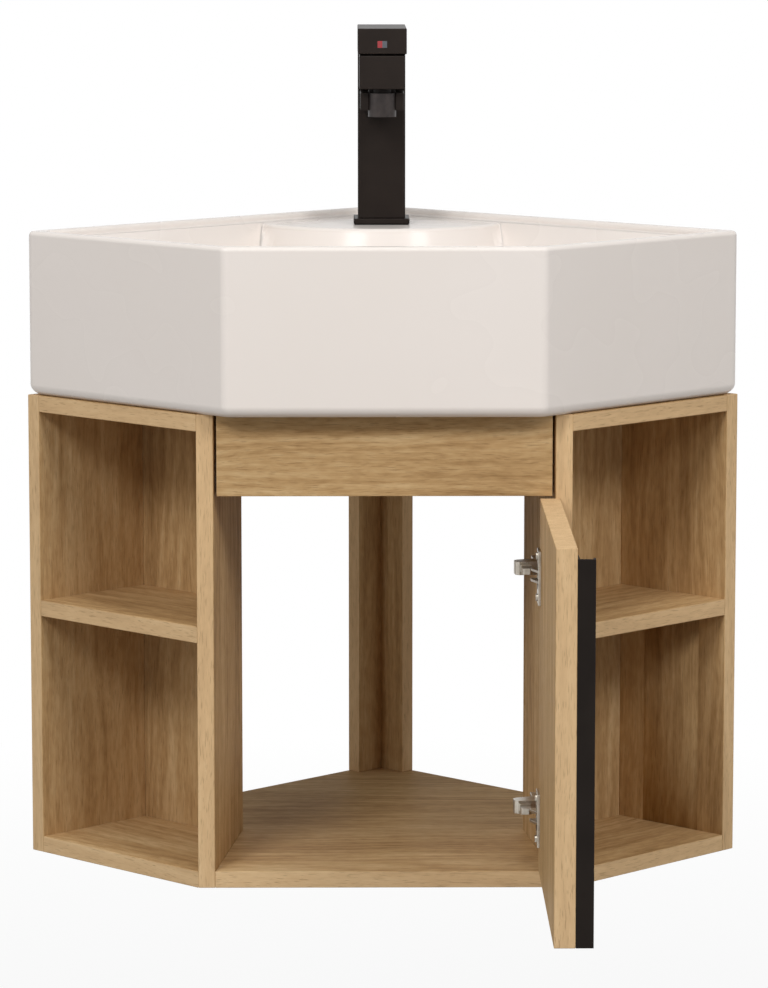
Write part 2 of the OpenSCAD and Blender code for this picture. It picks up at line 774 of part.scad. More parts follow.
module tap_body() color(tap_dark) difference() {
  union() {
    tap_block(column_w, -column_w / 2, column_w / 2, body_z, body_top - body_z);
    tap_block(spout_w, -spout_reach, 0, spout_z, spout_h);
    tap_block(under_w, under_inset - spout_reach, 0, under_z, under_h);
    tap_block(under_w - 2 * neck_inset, tap_y - aerator_y, 0, aerator_top - cut, under_gap + 2 * cut);
    translate([0, -aerator_y, aerator_top])
      cylinder(d = waterway_d + 2 * neck_wall, h = under_gap + cut);
  }
  // seat of the cartridge and of its nut
  translate([0, -tap_y, cartridge_z]) cylinder(d = cartridge_d + 2 * fit, h = cartridge_h + cut);
  translate([0, -tap_y, body_top - nut_h]) cylinder(d = nut_d + 2 * fit, h = nut_h + cut);
  // waterway forward to the aerator and the aerator's socket
  translate([0, -aerator_y, waterway_z]) rotate([-90, 0, 0])
    cylinder(d = waterway_d, h = aerator_y - tap_y);
  translate([0, -aerator_y, aerator_top]) cylinder(d = waterway_d, h = waterway_z - aerator_top);
  translate([0, -aerator_y, under_z - aerator_drop - cut])
    cylinder(d = aerator_d + 2 * fit, h = aerator_top - under_z + aerator_drop + cut);
  // inlets, drilled up to the cartridge with a seat for the sealing ring at the foot
  for (x = [-inlet_x, inlet_x]) translate([x, -tap_y - inlet_y, body_z - cut]) {
    cylinder(d = inlet_d, h = cartridge_z - body_z + 2 * cut);
    cylinder(d = inlet_seat_d, h = inlet_seat_h + cut);
  }
  // the stud's hole
  translate([0, -tap_y + stud_y, body_z - cut]) cylinder(d = stud_d + 2 * fit, h = stud_in + cut);
}

module cartridge() color([0.85, 0.85, 0.83]) translate([0, -tap_y, cartridge_z]) difference() {
  union() {
    cylinder(d = cartridge_d, h = cartridge_h);
    cylinder(d = neck_d, h = cartridge_h + nut_h - 0.5);
  }
  translate([0, 0, cartridge_h + nut_h - 0.5 - spindle_in])
    cylinder(d = spindle_d + 2 * fit, h = spindle_in + cut);
}

module cartridge_nut() color([0.7, 0.6, 0.35]) translate([0, -tap_y, cartridge_z + cartridge_h])
  difference() {
    cylinder(d = nut_d, h = nut_h - 0.5);
    translate([0, 0, -cut]) cylinder(d = neck_d + 2 * fit, h = nut_h + 2 * cut);
  }

lever_z = body_top + lever_gap;
lever_pivot_y = -tap_y + column_w / 2 - 4.5;
lever_pivot_z = lever_z + 2.5;
carrier_w = 28;
carrier_t = 4;
carrier_z = body_top + 0.6;
knuckle_d = 5;
pin_d = 3;
lever_wall = 3;
carrier_front = 14;
pin_inset = 1;
lever_back = column_w / 2;
lever_boss = (lever_w - carrier_w) / 2 - fit;
hollow_end = lever_pivot_y + knuckle_d / 2 + 0.5;
lever_chamfer = 2;

// The carrier turns with the lever and holds the pin on which the lever lifts
module lever_carrier() color(nickel) difference() {
  union() {
    translate([0, -tap_y, carrier_z - spindle_in + 0.5]) cylinder(d = spindle_d, h = spindle_in);
    translate([-carrier_w / 2, -tap_y - carrier_front, carrier_z])
      cube([carrier_w, lever_pivot_y + tap_y + carrier_front, carrier_t]);
    translate([-carrier_w / 2, lever_pivot_y, lever_pivot_z]) rotate([0, 90, 0])
      cylinder(d = knuckle_d, h = carrier_w);
  }
  translate([-carrier_w, lever_pivot_y, lever_pivot_z]) rotate([0, 90, 0])
    cylinder(d = pin_d + 2 * fit, h = 2 * carrier_w);
}

module lever_pin_rod(grow)
  translate([-lever_w / 2 + pin_inset - grow, lever_pivot_y, lever_pivot_z]) rotate([0, 90, 0])
    cylinder(d = pin_d + 2 * grow, h = lever_w - 2 * pin_inset + 2 * grow);

module lever_pin() color(nickel) lever_pin_rod(0);

badge_w = 4.4;
badge_h = 6.2;
badge_d = 0.8;
badge_up = 9;
badge_z = lever_z + badge_up;

// Hollow cover with its pin cross-bored through the side walls
module tap_lever() color(tap_dark) difference() {
  intersection() {
    tap_block(lever_w, -spout_reach, lever_back, lever_z, lever_h);
    translate([-lever_w, 0, 0]) rotate([90, 0, 90]) linear_extrude(2 * lever_w)
      polygon([[-tap_y - spout_reach, lever_z], [-tap_y + lever_back - lever_chamfer, lever_z],
        [-tap_y + lever_back, lever_z + lever_chamfer], [-tap_y + lever_back, lever_z + lever_h],
        [-tap_y - spout_reach, lever_z + lever_h]]);
  }
  difference() {
    translate([-lever_w / 2 + lever_wall, -tap_y - spout_reach + lever_wall, lever_z - cut])
      cube([lever_w - 2 * lever_wall, hollow_end + tap_y + spout_reach - lever_wall,
        lever_h - lever_wall + cut]);
    for (k = [-1, 1])
      translate([k * (carrier_w / 2 + fit + lever_boss / 2) - lever_boss / 2, lever_pivot_y - knuckle_d,
        lever_z - cut]) cube([lever_boss, 2 * knuckle_d, lever_h]);
  }
  lever_pin_rod(fit);
  translate([-badge_w, -tap_y - spout_reach - cut, badge_z - badge_h / 2])
    cube([2 * badge_w, badge_d + cut, badge_h]);
}

module badge(x) translate([x, -tap_y - spout_reach, badge_z - badge_h / 2])
  cube([badge_w, badge_d, badge_h]);

module hot_mark() color([0.75, 0.12, 0.14]) badge(-badge_w);
module cold_mark() color([0.45, 0.55, 0.68]) badge(0);

module aerator_sleeve() color([0.33, 0.29, 0.27]) translate([0, -aerator_y, under_z - aerator_drop])
  difference() {
    cylinder(d = aerator_d, h = aerator_top - under_z + aerator_drop - 0.1);
    translate([0, 0, -cut])
      cylinder(d = aerator_d - 4, h = aerator_top - under_z + aerator_drop + 2 * cut);
  }

module aerator_insert() color([0.6, 0.6, 0.6]) translate([0, -aerator_y, under_z - aerator_drop + 1.5])
  difference() {
    cylinder(d = aerator_d - 4 - 2 * fit, h = 5);
    for (a = [0:60:300]) rotate([0, 0, a]) translate([6.5, 0, -cut]) cylinder(d = 3.2, h = 5 + 2 * cut);
    translate([0, 0, -cut]) cylinder(d = 4, h = 5 + 2 * cut);
  }

washer_t = 3;
washer_rim = 8;
clamp_nut_d = 15;
hose_slot = 30;
hose_slot_end = 4;
washer_z = deck_z - ceramic_t - washer_t;
clamp_nut_h = 10;
stud_tail = 30;

module tap_stud() color("silver")
  translate([0, -tap_y + stud_y, washer_z - clamp_nut_h - stud_tail])
    cylinder(d = stud_d, h = body_z + stud_in - 0.5 - washer_z + clamp_nut_h + stud_tail);

// Horseshoe washer under the deck; the supply hoses pass through its open side
module clamp_washer() color("silver") difference() {
  translate([0, -tap_y, washer_z]) cylinder(d = tap_hole_d + 2 * washer_rim, h = washer_t);
  translate([-hose_slot / 2, -tap_y - tap_hole_d, washer_z - cut])
    cube([hose_slot, tap_hole_d + hose_slot_end, washer_t + 2 * cut]);
  translate([0, -tap_y + stud_y, washer_z - cut]) cylinder(d = stud_d + 2 * fit, h = washer_t + 2 * cut);
}

module clamp_nut() color("silver") translate([0, -tap_y + stud_y, washer_z - clamp_nut_h]) difference() {
  cylinder(d = clamp_nut_d, h = clamp_nut_h, $fn = 6);
  translate([0, 0, -cut]) cylinder(d = stud_d + 2 * fit, h = clamp_nut_h + 2 * cut);
}

on_left() wall_panel();  // left_wall_panel
wall_panel();  // right_wall_panel
on_left() back_panel();  // left_back_panel
back_panel();  // right_back_panel
on_left() partition();  // left_partition
hinge_partition();  // right_partition
on_left() side_board(side_board_z[2]);  // left_top_board
side_board(side_board_z[2]);  // right_top_board
on_left() side_board(side_board_z[1]);  // left_shelf
side_board(side_board_z[1]);  // right_shelf
on_left() side_board(side_board_z[0]);  // left_bottom_board
side_board(side_board_z[0]);  // right_bottom_board
floor_board();
apron();
stretcher();
on_left() wall_rail(0);  // left_wall_rail
wall_rail(board_t);  // right_wall_rail
on_left() post_board(0);  // left_post_board
post_board(board_t);  // right_post_board
dowels();
cam_bolts();
cam_discs();
apron_brackets();
bracket_screws();
door_panel();
door_pull();
pull_screws();
hinge_cup(hinge_z[1]);  // upper_hinge_cup
hinge_cup(hinge_z[0]);  // lower_hinge_cup
cup_screws();
hinge_arm(hinge_z[1]);  // upper_hinge_arm
hinge_arm(hinge_z[0]);  // lower_hinge_arm
hinge_plate(hinge_z[1]);  // upper_hinge_plate
hinge_plate(hinge_z[0]);  // lower_hinge_plate
plate_screws();
basin();
waste_body();
waste_seal();
waste_gasket();
waste_nut();
waste_plug();
tap_base_plate();
tap_gasket();
tap_body();
cartridge();
cartridge_nut();
lever_carrier();
lever_pin();
tap_lever();
hot_mark();
cold_mark();
aerator_sleeve();
aerator_insert();
tap_stud();
clamp_washer();
clamp_nut();
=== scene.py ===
import math

import bmesh
import bpy
from mathutils import Matrix, Vector


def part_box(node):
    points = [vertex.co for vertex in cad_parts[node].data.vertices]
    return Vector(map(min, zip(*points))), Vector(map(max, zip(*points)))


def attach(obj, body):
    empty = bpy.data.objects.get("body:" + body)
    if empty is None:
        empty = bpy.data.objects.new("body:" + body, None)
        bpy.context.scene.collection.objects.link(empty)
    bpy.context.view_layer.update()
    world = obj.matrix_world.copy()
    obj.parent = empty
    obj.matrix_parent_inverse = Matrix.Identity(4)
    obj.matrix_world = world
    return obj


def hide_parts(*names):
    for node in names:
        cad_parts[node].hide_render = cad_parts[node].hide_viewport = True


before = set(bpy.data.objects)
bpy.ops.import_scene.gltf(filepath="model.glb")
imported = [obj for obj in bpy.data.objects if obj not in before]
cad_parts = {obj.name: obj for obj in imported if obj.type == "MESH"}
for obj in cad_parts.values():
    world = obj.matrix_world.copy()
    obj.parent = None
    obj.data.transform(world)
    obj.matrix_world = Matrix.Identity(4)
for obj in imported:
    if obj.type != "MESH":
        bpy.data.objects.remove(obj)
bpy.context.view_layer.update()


# ---- Camera ----------------------------------------------------------------------------------
# The view of the photograph: a long lens a little above the basin, looking slightly down at the
# front of the unit. The frame is 768 wide and 988 high.
CAMERA_AT = (-0.0318, -4.2854, 0.8799)
CAMERA_PITCH, CAMERA_YAW = 7.862, -0.473
CAMERA_LENS, CAMERA_SENSOR = 158.48, 36.0

camera = bpy.data.objects.new("view_camera", bpy.data.cameras.new("view_camera"))
camera.data.lens = CAMERA_LENS
camera.data.sensor_width = CAMERA_SENSOR
camera.location = CAMERA_AT
camera.rotation_euler = (math.radians(90 - CAMERA_PITCH), 0, math.radians(CAMERA_YAW))
bpy.context.collection.objects.link(camera)
bpy.context.scene.camera = camera
bpy.context.scene.view_settings.view_transform = "Standard"


# ---- Shader maths ----------------------------------------------------------------------------
# Finishes are written as sums and products of node sockets. Value wraps a socket, add_node makes
# a node, and Finish is one material with its shader ready to be fed.
class Value:
    def __init__(self, tree, socket):
        self.tree, self.socket = tree, socket

    def maths(self, operation, *terms):
        settings = {"operation": operation}
        return add_node(self.tree, "ShaderNodeMath", settings, dict(enumerate(terms)))

    def __add__(self, other):
        return self.maths("ADD", self, other)

    def __sub__(self, other):
        return self.maths("SUBTRACT", self, other)

    def __rsub__(self, other):
        return self.maths("SUBTRACT", other, self)

    def __mul__(self, other):
        return self.maths("MULTIPLY", self, other)

    __radd__ = __add__
    __rmul__ = __mul__

    def clear_of(self, low, high):
        """Nought under low and one over high, with a straight rise between."""
        settings = {"clamp": True}
        inputs = {"Value": self, "From Min": low, "From Max": high}
        return add_node(self.tree, "ShaderNodeMapRange", settings, inputs)


def add_node(tree, kind, settings=None, inputs=None, output=0):
    """A node with its settings made first, then its sockets' values and links."""
    node = tree.nodes.new(kind)
    for name, value in (settings or {}).items():
        if name == "stops":
            ramp = node.color_ramp
            while len(ramp.elements) < len(value):
                ramp.elements.new(1.0)
            for element, (position, colour) in zip(ramp.elements, value):
                element.position = position
                element.color = colour
        else:
            setattr(node, name, value)
    for name, value in (inputs or {}).items():
        if isinstance(value, Value):
            tree.links.new(value.socket, node.inputs[name])
        else:
            node.inputs[name].default_value = value
    return Value(tree, node.outputs[output])


def shade(red, green, blue):
    """A colour from its everyday 0 to 255 numbers."""
    def linear(part):
        part /= 255
        return part / 12.92 if part <= 0.04045 else ((part + 0.055) / 1.055) ** 2.4
    return (linear(red), linear(green), linear(blue), 1.0)


class Finish:
    """One material; fixed sockets are set at once and varying ones are fed later."""
    def __init__(self, name, **fixed):
        self.material = bpy.data.materials.new(name)
        self.material.use_nodes = True
        self.tree = self.material.node_tree
        self.shader = self.tree.nodes["Principled BSDF"]
        for socket, value in fixed.items():
            self.shader.inputs[socket.replace("_", " ")].default_value = value
        self.here = self.add("ShaderNodeTexCoord", output="Object")

    def add(self, kind, settings=None, inputs=None, output=0):
        return add_node(self.tree, kind, settings, inputs, output)

    def feed(self, socket, value):
        self.tree.links.new(value.socket, self.shader.inputs[socket])

    def stretch(self, place, sizes):
        settings = {"operation": "MULTIPLY"}
        return self.add("ShaderNodeVectorMath", settings, {0: place, 1: sizes})

    def noise(self, place, scale=1.0, detail=2.0, roughness=0.5):
        inputs = {"Vector": place, "Scale": scale, "Detail": detail, "Roughness": roughness}
        return self.add("ShaderNodeTexNoise", None, inputs)

    def ramp(self, mask, *stops):
        return self.add("ShaderNodeValToRGB", {"stops": stops}, {"Fac": mask})

    def mix(self, mask, first, second):
        settings = {"data_type": "RGBA"}
        inputs = {0: mask, 6: first, 7: second}
        return self.add("ShaderNodeMix", settings, inputs, 2)

    def relief(self, height, depth):
        """Bump of the given depth in metres where height goes from nought to one."""
        inputs = {"Height": height, "Distance": depth, "Strength": 1.0}
        self.feed("Normal", self.add("ShaderNodeBump", None, inputs))


# ---- Light and floor -------------------------------------------------------------------------
# Plain soft studio light: a large lamp to the left and one to the right in front, one above, a
# weak fill on each side and an even pale surround. The floor is a good way below the unit, which
# hangs on its walls. A lamp has a name, a place, a width in metres and a power in watts.
FLOOR_DROP, FLOOR_SPAN, FLOOR_GREY = 0.42, 30.0, (0.4, 0.4, 0.4, 1)
SHADOW_FADE, SHADOW_SHARE = (0.9, 2.4), 0.08
SURROUND = 0.25
LAMPS = (("left_lamp", (-1.4, -3.2, 2.6), 1.2, 54.0),
         ("right_lamp", (2.0, -3.0, 2.5), 1.2, 47.0),
         ("top_lamp", (0.0, -1.5, 3.2), 1.4, 20.0),
         ("left_fill", (-2.6, -1.6, 1.0), 1.0, 6.0),
         ("right_fill", (2.6, -1.6, 1.0), 1.0, 3.0))
LAMP_AIM = (0.0, -0.35, 0.30)

room = bpy.data.worlds.new("pale_room")
room.use_nodes = True
bpy.context.scene.world = room
room_tree = room.node_tree


def sees_background(tree):
    """One for camera, mirror and glass rays."""
    rays = [add_node(tree, "ShaderNodeLightPath", output="Is " + kind)
            for kind in ("Camera Ray", "Glossy Ray", "Transmission Ray")]
    return (rays[0] + rays[1] + rays[2]).clear_of(0.0, 1.0)


brightness = sees_background(room_tree) * (1 - SURROUND) + SURROUND
lit_background = {"Color": (1, 1, 1, 1), "Strength": brightness}
room_light = add_node(room_tree, "ShaderNodeBackground", None, lit_background)
room_tree.links.new(room_light.socket, room_tree.nodes["World Output"].inputs["Surface"])

for name, at, size, power in LAMPS:
    lamp = bpy.data.objects.new(name, bpy.data.lights.new(name, "AREA"))
    lamp.data.shape = "DISK"
    lamp.data.size = size
    lamp.data.energy = power
    lamp.location = at
    lamp.rotation_euler = (Vector(LAMP_AIM) - Vector(at)).to_track_quat("-Z", "Y").to_euler()
    bpy.context.collection.objects.link(lamp)

# A matt floor that the camera sees as plain white, apart from the unit's shadow.
floor_finish = Finish("pale_floor", Base_Color=FLOOR_GREY, Roughness=0.9)
bm = bmesh.new()
bmesh.ops.create_grid(bm, size=FLOOR_SPAN / 2)
bmesh.ops.translate(bm, verts=bm.verts, vec=(0, 0, -FLOOR_DROP))
floor = bpy.data.objects.new("floor", bpy.data.meshes.new("floor"))
bm.to_mesh(floor.data)
bm.free()
floor.data.materials.append(floor_finish.material)
bpy.context.collection.objects.link(floor)
white = floor_finish.add("ShaderNodeEmission", None, {"Color": (1, 1, 1, 1), "Strength": 1.0})
far = floor_finish.add("ShaderNodeVectorMath", {"operation": "LENGTH"}, {0: floor_finish.here}, 1)
shadow_share = far.clear_of(*SHADOW_FADE) * -SHADOW_SHARE + SHADOW_SHARE
seen = sees_background(floor_finish.tree) * (1 - shadow_share)
halves = {0: seen, 1: Value(floor_finish.tree, floor_finish.shader.outputs[0]), 2: white}
both = floor_finish.add("ShaderNodeMixShader", None, halves)
floor_output = floor_finish.tree.nodes["Material Output"]
floor_finish.tree.links.new(both.socket, floor_output.inputs["Surface"])


# ---- Oak boards ------------------------------------------------------------------------------
# Particle board faced with an oak-grain laminate and banded on its edges. The uprights have
# upright grain, the shelves and floor have it along their front edge. Dowels, cams and glue
# hold them, so each board rides with the cabinet, and the door board with the door.

# Edges longer than the shortest are eased where two faces meet sharply
EDGE_EASE, EASE_STEPS, SHORTEST_EASED, SHARP_EDGE = 0.0006, 2, 0.012, math.radians(30)
SAME_POINT, FLAT_WITHIN = 1e-6, math.radians(1)
# Colours of the oak, and how much of each layer of its figure goes into tone, gloss and relief
OAK_LIGHT, OAK_MIDDLE = shade(216, 186, 141), shade(193, 158, 112)
OAK_DARK, OAK_PORE, OAK_BAND = shade(160, 125, 83), shade(120, 88, 55), shade(243, 208, 163)
BAND_SHARE, BAND_EDGES = 0.5, (0.2, 0.6)
PORE_SHARE, PORE_EDGES, PORE_DEPTH = 0.35, (0.60, 0.72), 0.00012
STREAK_SHARE, CLOUD_SHARE, RING_SHARE, FLECK_SHARE, FIBRE_SHARE = 0.40, 0.26, 0.08, 0.22, 0.16
TONE_STOPS = (0.40, 0.56, 0.72)
OAK_ROUGHNESS, PORE_ROUGHNESS, FIBRE_ROUGHNESS, FIBRE_RELIEF = 0.5, 0.2, 0.1, 0.5
WARP_REACH, RING_COUNT = 0.020, 9.0
# Repeats in a metre of each layer of the figure: along the grain, and both ways across it
BEND, STREAKS, CLOUDS, RINGS = (4.0, 16.0), (5.0, 85.0), (3.0, 11.0), (1.6, 24.0)
FIBRES, PORES, FLECKS = (30.0, 850.0), (75.0, 1500.0), (70.0, 260.0)
# How far each board's figure is from the next one's, in metres
NEXT_BOARD = (0.71, 0.37, 0.53)
# Ways of the grain: upright, or at an angle in plan
UP, ACROSS, ALONG_RIGHT, ALONG_LEFT = "up", 0, 45, 135
RIGHT_WALL, LEFT_WALL = -45, 45


def eased_mesh(name, node, ease=EDGE_EASE, shortest=SHORTEST_EASED):
    """A piece with the shape of a CAD node and its long sharp edges taken off."""
    bm = bmesh.new()
    bm.from_mesh(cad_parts[node].data)
    bmesh.ops.remove_doubles(bm, verts=bm.verts, dist=SAME_POINT)
    bmesh.ops.dissolve_limit(bm, angle_limit=FLAT_WITHIN, verts=bm.verts, edges=bm.edges)
    sharp = [edge for edge in bm.edges if edge.calc_length() > shortest
             and len(edge.link_faces) == 2 and edge.calc_face_angle() > SHARP_EDGE]
    bmesh.ops.bevel(bm, geom=sharp, offset=ease, offset_type="OFFSET", affect="EDGES",
                    segments=EASE_STEPS, profile=0.5, material=-1, clamp_overlap=False)
    return piece_of(name, bm)


def piece_of(name, bm):
    """A finished piece from a bmesh, at the origin."""
    piece = bpy.data.objects.new(name, bpy.data.meshes.new(name))
    bm.to_mesh(piece.data)
    bm.free()
    bpy.context.collection.objects.link(piece)
    return piece


def fit_piece(piece, finish, body, node):
    """Gives a piece its finish and its body, and hides the CAD node that it stands for."""
    piece.data.materials.clear()
    piece.data.materials.append(finish.material)
    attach(piece, body)
    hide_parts(node)


def broad_side(board):
    """The direction in which a board's largest face looks."""
    return tuple(max(board.data.polygons, key=lambda face: face.area).normal)


def oak(name, grain, shift, faces):
    """Oak laminate, its grain upright or turned in plan, with paler banding round its edges."""
    finish = Finish(name, Specular_IOR_Level=0.02)

    def layer(place, repeats, detail, roughness=0.5):
        """One layer of the figure, long with the grain and short across it."""
        along, over = repeats
        return finish.noise(finish.stretch(place, (along, over, over)), 1.0, detail, roughness)

    turn = (0, math.pi / 2, 0) if grain == UP else (0, 0, -math.radians(grain))
    moved = tuple(shift * step for step in NEXT_BOARD)
    where = {"Vector": finish.here, "Rotation": turn, "Location": moved}
    place = finish.add("ShaderNodeMapping", None, where)
    sway = (layer(place, BEND, detail=2.0) - 0.5) * WARP_REACH
    across = finish.add("ShaderNodeCombineXYZ", None, {"Y": sway, "Z": sway})
    flow = finish.add("ShaderNodeVectorMath", {"operation": "ADD"}, {0: place, 1: across})
    streaks = layer(flow, STREAKS, detail=4.0, roughness=0.6)
    clouds = layer(place, CLOUDS, detail=1.0)
    rings = layer(flow, RINGS, detail=0.0) * RING_COUNT
    rings = rings.maths("FRACT", rings).maths("PINGPONG", rings, 0.5) * 2.0
    fibres = layer(flow, FIBRES, detail=2.0)
    pores = layer(flow, PORES, detail=1.0).clear_of(*PORE_EDGES)
    flecks = layer(flow, FLECKS, detail=2.0)
    tone = (streaks * STREAK_SHARE + clouds * CLOUD_SHARE + rings * RING_SHARE
            + flecks * FLECK_SHARE + fibres * FIBRE_SHARE)
    wood = finish.ramp(tone, *zip(TONE_STOPS, (OAK_DARK, OAK_MIDDLE, OAK_LIGHT)))
    looks = finish.add("ShaderNodeTexCoord", output="Normal")
    both = {0: looks, 1: faces}
    broad = finish.add("ShaderNodeVectorMath", {"operation": "DOT_PRODUCT"}, both, 1)
    band = 1 - broad.maths("ABSOLUTE", broad).clear_of(*BAND_EDGES)
    wood = finish.mix(band * BAND_SHARE, wood, OAK_BAND)
    finish.feed("Base Color", finish.mix(pores * PORE_SHARE, wood, OAK_PORE))
    matt = pores * PORE_ROUGHNESS + OAK_ROUGHNESS + fibres * FIBRE_ROUGHNESS
    finish.feed("Roughness", matt)
    finish.relief(fibres * FIBRE_RELIEF - pores, PORE_DEPTH)
    return finish


boards = {
    "left_wall_panel": UP, "right_wall_panel": UP, "left_back_panel": UP, "right_back_panel": UP,
    "left_partition": UP, "right_partition": UP, "left_post_board": UP, "right_post_board": UP,
    "left_top_board": ALONG_LEFT, "right_top_board": ALONG_RIGHT, "left_shelf": ALONG_LEFT,
    "right_shelf": ALONG_RIGHT, "left_bottom_board": ALONG_LEFT, "right_bottom_board": ALONG_RIGHT,
    "floor_board": ACROSS, "apron": ACROSS, "stretcher": ACROSS, "left_wall_rail": LEFT_WALL,
    "right_wall_rail": RIGHT_WALL, "door_panel": UP}
for number, (node, grain) in enumerate(boards.items()):
    board = eased_mesh("oak_" + node, node)
    body = "door" if node == "door_panel" else "cabinet"
    finish = oak("oak_on_" + node, grain, number + 1, broad_side(board))
    fit_piece(board, finish, body, node)


# ---- Basin -----------------------------------------------------------------------------------
# One ceramic casting with a warm white glaze, on the cabinet's top edges. Its walls are 12 mm,
# its underside is hollow, and the tap stands on a ledge with a round front over the bowl.
BASIN_LEG, BASIN_FRONT = 0.462, -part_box("basin")[0][1]
BASIN_BOTTOM, BASIN_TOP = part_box("basin")[0][2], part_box("basin")[1][2]
LEDGE_DROP, BOWL_DEPTH, CERAMIC = 0.0075, 0.108, 0.012
LEDGE_Z, BOWL_Z = BASIN_TOP - LEDGE_DROP, BASIN_TOP - BOWL_DEPTH
BOWL_DRAFT, FOOT_WIDTH = 0.034, 0.020
EDGE_ROUND, FOOT_ROUND, RIM_ROUND = 0.010, 0.010, 0.0042
INNER_ROUND, FLOOR_ROUND, LEDGE_ROUND = 0.012, 0.020, 0.004
CORNER_STEPS, CURVE_STEPS, RING_STEPS = 8, 8, 96
LEDGE_AT, LEDGE_RADIUS = 0.084, 0.125
WASTE_AT, WASTE_HOLE, TAP_AT, TAP_HOLE = 0.335, 0.0225, 0.133, 0.0175
# How far a cutter runs past the face that it opens, and a drilled way below and above its floor
PAST, DRILL_REACH, OVER_BOWL, OVER_LEDGE = 0.002, 0.03, 0.01, 0.001
# The rim's edges are at least this sharp, in radians, and this near to the basin's top
RIM_ANGLE, LEVEL_WITHIN, RIM_STEPS, WELD_WITHIN = 0.8, 1e-5, 4, 2e-6
GLAZE_WARM, GLAZE_PALE = shade(235, 226, 218), shade(239, 231, 225)
GLAZE_ROUGHNESS, SMEAR_SHARE, GLAZE_WAVES = 0.24, 0.06, 0.00012


def plan_corners(inset):
    """The five corners of the plan, drawn in by the same amount all round."""
    root = math.sqrt(2)
    side = (BASIN_LEG / root - inset * root, -BASIN_LEG / root)
    front = (root * (BASIN_LEG - inset) - BASIN_FRONT + inset, inset - BASIN_FRONT)
    return [(0, -root * inset), side, front, (-front[0], front[1]), (-side[0], side[1])]


def plan_loop(inset, z, radius):
    """The plan at one height, its corners rounded to a radius."""
    corners = [Vector(corner) for corner in plan_corners(inset)]
    loop = []
    for number, corner in enumerate(corners):
        before = (corners[number - 1] - corner).normalized()
        after = (corners[number - 4] - corner).normalized()
        half = before.angle(after) / 2
        centre = corner + (before + after).normalized() * radius / math.sin(half)
        arm = corner + before * radius / math.tan(half) - centre
        for step in range(CORNER_STEPS + 1):
            spoke = arm.copy()
            spoke.rotate(Matrix.Rotation((2 * half - math.pi) * step / CORNER_STEPS, 2))
            loop.append((centre.x + spoke.x, centre.y + spoke.y, z))
    return loop


def ring(radius, at, z):
    """A circle at one height, at metres in front of the room's corner."""
    turns = [math.tau * step / RING_STEPS for step in range(RING_STEPS)]
    return [(radius * math.cos(turn), radius * math.sin(turn) - at, z) for turn in turns]


def stack(loops):
    """A closed block through loops of as many points each, from the foot up."""
    bm = bmesh.new()
    levels = [[bm.verts.new(point) for point in loop] for loop in loops]
    for low, high in zip(levels, levels[1:]):
        for number in range(len(low)):
            bm.faces.new((low[number - 1], low[number], high[number], high[number - 1]))
    bm.faces.new(levels[0])
    bm.faces.new(levels[-1])
    bmesh.ops.recalc_face_normals(bm, faces=bm.faces)
    return bm


def block(inset, low_z, high_z, radius):
    """The plan, drawn in and with upright sides, between two heights."""
    return stack([plan_loop(inset, low_z, radius), plan_loop(inset, high_z, radius)])


def without(body, *cutters):
    """The body with the cutters taken out of it. All of them are bmeshes, and are used up."""
    solid = piece_of("casting", body)
    tools = [piece_of("core", cutter) for cutter in cutters]
    for tool in tools:
        cut = solid.modifiers.new("cut", "BOOLEAN")
        cut.operation, cut.solver, cut.object = "DIFFERENCE", "EXACT", tool
    bm = bmesh.new()
    bm.from_object(solid, bpy.context.evaluated_depsgraph_get())
    for used in [solid, *tools]:
        bpy.data.objects.remove(used)
    bmesh.ops.remove_doubles(bm, verts=bm.verts, dist=WELD_WITHIN)
    return bm


def quarter(radius):
    """Steps of a quarter round from its foot: how far it is drawn in and how high it is."""
    turns = [math.pi / 2 * step / CURVE_STEPS for step in range(CURVE_STEPS + 1)]
    return [(radius * (1 - math.sin(turn)), radius * (1 - math.cos(turn))) for turn in turns]


def bowl_core(grow):
    """The room in the bowl up to the ledge, made larger all round."""
    rise = LEDGE_Z - BOWL_Z + grow
    wall = [(BOWL_DRAFT * (1 - up / rise) - grow + drawn, LEDGE_Z - rise + up)
            for drawn, up in quarter(FLOOR_ROUND + grow)]
    brow = [(-drawn - grow, LEDGE_Z - up) for drawn, up in reversed(quarter(LEDGE_ROUND))]
    core = stack([plan_loop(CERAMIC + drawn, z, INNER_ROUND + grow)
                  for drawn, z in wall + [(-grow, LEDGE_Z + PAST)]])
    ledge = stack([ring(LEDGE_RADIUS + drawn, LEDGE_AT, z)
                   for drawn, z in [(wall[0][0], wall[0][1] - PAST)] + wall + brow
                   + [(brow[-1][0], LEDGE_Z + 2 * PAST)]])
    return without(core, ledge)


hollow = without(block(CERAMIC, BASIN_BOTTOM + CERAMIC, LEDGE_Z - CERAMIC, INNER_ROUND),
                 bowl_core(CERAMIC))
foot = [plan_loop(drawn, BASIN_BOTTOM + up, EDGE_ROUND) for drawn, up in quarter(FOOT_ROUND)]
body = stack(foot + [plan_loop(0, BASIN_TOP, EDGE_ROUND)])
over_ledge = block(CERAMIC, LEDGE_Z, BASIN_TOP + PAST, INNER_ROUND)
under_way = block(FOOT_WIDTH, BASIN_BOTTOM - PAST, BASIN_BOTTOM + CERAMIC + PAST, INNER_ROUND)
waste_way = stack([ring(WASTE_HOLE, WASTE_AT, BOWL_Z + up) for up in (-DRILL_REACH, OVER_BOWL)])
tap_way = stack([ring(TAP_HOLE, TAP_AT, LEDGE_Z + up) for up in (-DRILL_REACH, OVER_LEDGE)])
basin = without(body, over_ledge, bowl_core(0), under_way, hollow, waste_way, tap_way)
rim = [edge for edge in basin.edges if edge.calc_face_angle(0) > RIM_ANGLE
       and all(abs(end.co.z - BASIN_TOP) < LEVEL_WITHIN for end in edge.verts)]
